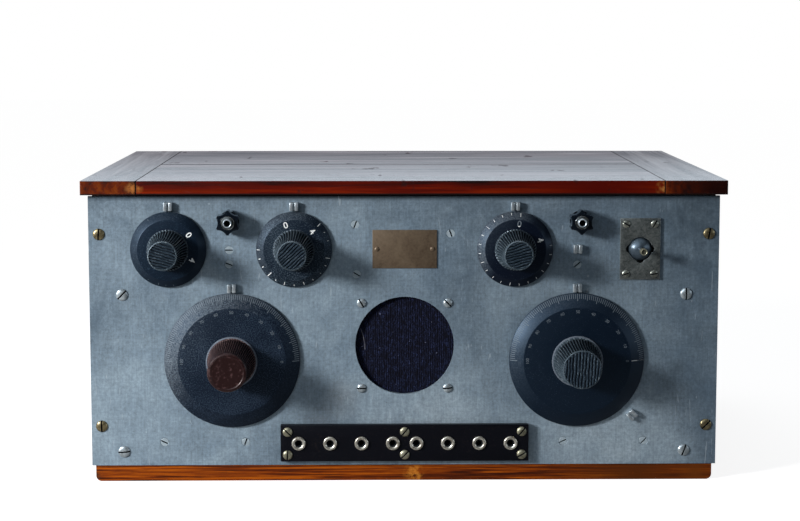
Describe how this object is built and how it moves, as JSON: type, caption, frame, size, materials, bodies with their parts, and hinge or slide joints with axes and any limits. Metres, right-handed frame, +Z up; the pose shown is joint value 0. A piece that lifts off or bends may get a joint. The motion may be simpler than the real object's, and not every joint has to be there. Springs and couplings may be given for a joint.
{
  "type": "table-top radio receiver",
  "caption": "Wooden-cased valve receiver with a hinged lid and a metal front panel of turning dials, fluted knobs, a lever switch, screw terminals and plug sockets.",
  "frame": {"origin": "centre of the base board's underside, on the surface the cabinet stands on", "axes": "+X to the right as seen from the front, +Y from the front panel to the back, +Z up"},
  "size_m": [0.4666, 0.3264, 0.2215],
  "materials": {
    "base_wood": "oiled, streaky",
    "side_wood": "oiled",
    "lid_wood": "worn polish",
    "lid_end_wood": "worn polish, grain front to back",
    "chassis_wood": "bare",
    "panel_metal": "brushed, stained",
    "dial_black": "moulded, dusty",
    "knob_black": "moulded, fluted",
    "knob_brown": "moulded, fluted, worn",
    "ebonite": "satin",
    "nickel": "tarnished nickel",
    "plate_steel": "dark nickel",
    "steel": "dull",
    "brass": "aged",
    "cloth": "ribbed",
    "case_paint": "black japan",
    "former": "moulded",
    "copper": "wire",
    "glass": "clear",
    "core_iron": "laminated",
    "coil_card": "wound card",
    "vane": "sheet"
  },
  "bodies": {
    "cabinet": {"base_board": "base_wood", "side_boards": "side_wood", "back_board": "side_wood", "chassis_board": "chassis_wood", "front_panel": "panel_metal", "cabinet_hinges": "brass", "panel_wood_screws": "brass", "panel_steel_screws": "steel", "panel_brackets": "steel", "grille_screws": "nickel", "grille_cloth": "cloth", "speaker_ring": "ebonite", "speaker_case": "case_paint", "name_plate": "brass", "plate_rivets": "brass", "socket_strip": "ebonite", "strip_screws": "brass", "sockets": "nickel", "switch_plate": "plate_steel", "switch_plate_screws": "steel", "switch_frame": "steel", "index_blocks": "nickel", "terminal_collars": "ebonite", "terminal_studs": "nickel", "valve_bases": "ebonite", "valve_bulbs": "glass", "transformer_cores": "core_iron", "transformer_windings": "copper", "tuning_coils": "coil_card", "fixed_condensers": "former", "bus_wires": "nickel", "condenser_frames": "vane", "condenser_stators": "vane", "rheostat_formers": "former", "rheostat_windings": "copper"},
    "lid": {"lid_boards": "lid_wood", "lid_ends": "lid_end_wood", "lid_hinges": "brass"},
    "small_dial_1": {"small_dial_1": "dial_black", "small_knob_1": "knob_black", "small_spindle_1": "brass"},
    "small_dial_2": {"small_dial_2": "dial_black", "small_knob_2": "knob_black", "small_spindle_2": "brass"},
    "small_dial_3": {"small_dial_3": "dial_black", "small_knob_3": "knob_black", "small_spindle_3": "brass"},
    "tuning_left": {"tuning_dial_left": "dial_black", "tuning_knob_left": "knob_brown", "tuning_rotor_left": "vane"},
    "tuning_right": {"tuning_dial_right": "dial_black", "tuning_knob_right": "knob_black", "tuning_rotor_right": "vane"},
    "switch_yoke": {"switch_yoke": "nickel"},
    "switch_lever": {"switch_lever": "nickel", "lever_tip": "brass"},
    "terminal_left": {"terminal_nut_left": "ebonite", "terminal_ring_left": "nickel"},
    "terminal_right": {"terminal_nut_right": "ebonite", "terminal_ring_right": "nickel"}
  },
  "joints": [
    {"name": "lid_hinge", "type": "hinge", "parent": "cabinet", "child": "lid", "pos_m": [0, 0.1402, 0.2112], "axis": [-1, 0, 0], "range_deg": [0, 100]},
    {"name": "small_dial_1_turn", "type": "hinge", "parent": "cabinet", "child": "small_dial_1", "pos_m": [-0.1708, -0.1382, 0.1714], "axis": [0, -1, 0], "range_deg": [-76.5, 203.5]},
    {"name": "small_dial_2_turn", "type": "hinge", "parent": "cabinet", "child": "small_dial_2", "pos_m": [-0.08, -0.1382, 0.1714], "axis": [0, -1, 0], "range_deg": [-159, 121]},
    {"name": "small_dial_3_turn", "type": "hinge", "parent": "cabinet", "child": "small_dial_3", "pos_m": [0.08, -0.1382, 0.1714], "axis": [0, -1, 0], "range_deg": [-129.7, 150.3]},
    {"name": "tuning_left_turn", "type": "hinge", "parent": "cabinet", "child": "tuning_left", "pos_m": [-0.1254, -0.1382, 0.09], "axis": [0, -1, 0], "range_deg": [-90, 90]},
    {"name": "tuning_right_turn", "type": "hinge", "parent": "cabinet", "child": "tuning_right", "pos_m": [0.1254, -0.1382, 0.09], "axis": [0, -1, 0], "range_deg": [-90, 90]},
    {"name": "switch_side", "type": "hinge", "parent": "cabinet", "child": "switch_yoke", "pos_m": [0.1708, -0.1337, 0.1714], "axis": [0, 0, 1], "range_deg": [-14, 14]},
    {"name": "switch_down", "type": "hinge", "parent": "switch_yoke", "child": "switch_lever", "pos_m": [0.1708, -0.1337, 0.1714], "axis": [1, 0, 0], "range_deg": [0, 14]},
    {"name": "terminal_left_turn", "type": "hinge", "parent": "cabinet", "child": "terminal_left", "pos_m": [-0.127, -0.1455, 0.1919], "axis": [0, -1, 0], "continuous": true},
    {"name": "terminal_right_turn", "type": "hinge", "parent": "cabinet", "child": "terminal_right", "pos_m": [0.127, -0.1455, 0.1919], "axis": [0, -1, 0], "continuous": true}
  ]
}
